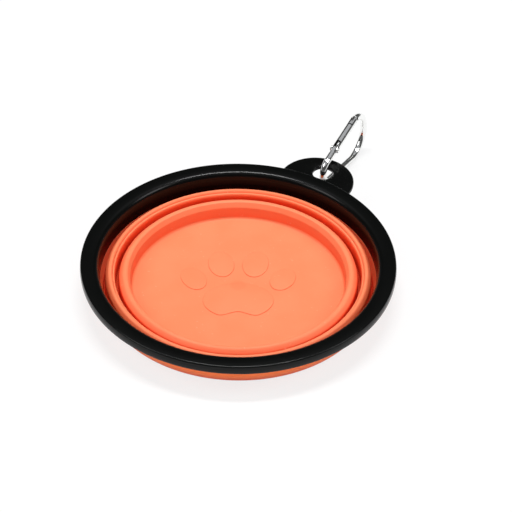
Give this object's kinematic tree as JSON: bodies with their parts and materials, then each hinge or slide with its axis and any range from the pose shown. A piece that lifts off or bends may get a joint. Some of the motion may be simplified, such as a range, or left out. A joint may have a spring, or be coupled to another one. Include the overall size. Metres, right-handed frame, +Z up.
{
  "type": "collapsible pet bowl",
  "caption": "Round collapsible silicone travel bowl, folded flat, with a stiff plastic rim, a hang tab and a snap hook to clip it to a bag.",
  "frame": {"origin": "centre of the flat underside of the base, on the bowl's axis", "axes": "+Z up along the bowl's axis, +Y from the axis towards the hang tab and the snap hook"},
  "size_m": [0.13, 0.1775, 0.024],
  "materials": {
    "silicone": "matte moulded",
    "rim_plastic": "satin black",
    "hook_metal": "polished",
    "spring_steel": "drawn wire"
  },
  "bodies": {
    "base": {"base_cup": "silicone"},
    "lower_web": {"lower_fold_web": "silicone"},
    "middle": {"middle_band": "silicone"},
    "upper_web": {"upper_fold_web": "silicone"},
    "rim": {"top_band": "silicone", "rim_ring": "rim_plastic"},
    "hook": {"carabiner_body": "hook_metal", "gate_hinge_rivet": "hook_metal"},
    "gate": {"carabiner_gate": "hook_metal", "gate_latch_pin": "hook_metal", "gate_spring": "spring_steel"},
    "plunger": {"gate_plunger": "spring_steel"}
  },
  "joints": [
    {"name": "lower_fold_lift", "type": "slide", "parent": "base", "child": "middle", "axis": [0, 0, 1], "range_m": [0, 0.0155]},
    {"name": "lower_web_flip", "type": "slide", "parent": "base", "child": "lower_web", "axis": [0, 0, 1], "range_m": [0, 0.00775]},
    {"name": "upper_fold_lift", "type": "slide", "parent": "middle", "child": "rim", "axis": [0, 0, 1], "range_m": [0, 0.0185]},
    {"name": "upper_web_flip", "type": "slide", "parent": "middle", "child": "upper_web", "axis": [0, 0, 1], "range_m": [0, 0.00925]},
    {"name": "hook_swing", "type": "hinge", "parent": "rim", "child": "hook", "pos_m": [-0.0003, 0.07844, 0.0126], "axis": [0.9991, 0.0419, 0], "range_deg": [0, 110]},
    {"name": "gate_open", "type": "hinge", "parent": "hook", "child": "gate", "pos_m": [-0.00046, 0.08224, 0.01859], "axis": [-0.9991, -0.0419, 0], "range_deg": [0, 28], "stiffness_Nm_per_rad": 0.01, "springref_deg": -28.65},
    {"name": "plunger_push", "type": "slide", "parent": "gate", "child": "plunger", "axis": [-0.041, 0.9773, 0.2079], "range_m": [0, 0.00055], "deforming": ["gate_spring"]}
  ],
  "couplings": [
    {"joint": "lower_web_flip", "follows": "lower_fold_lift", "ratio": 0.5},
    {"joint": "upper_web_flip", "follows": "upper_fold_lift", "ratio": 0.5},
    {"joint": "plunger_push", "follows": "gate_open", "m_per_rad": 0.001125}
  ]
}
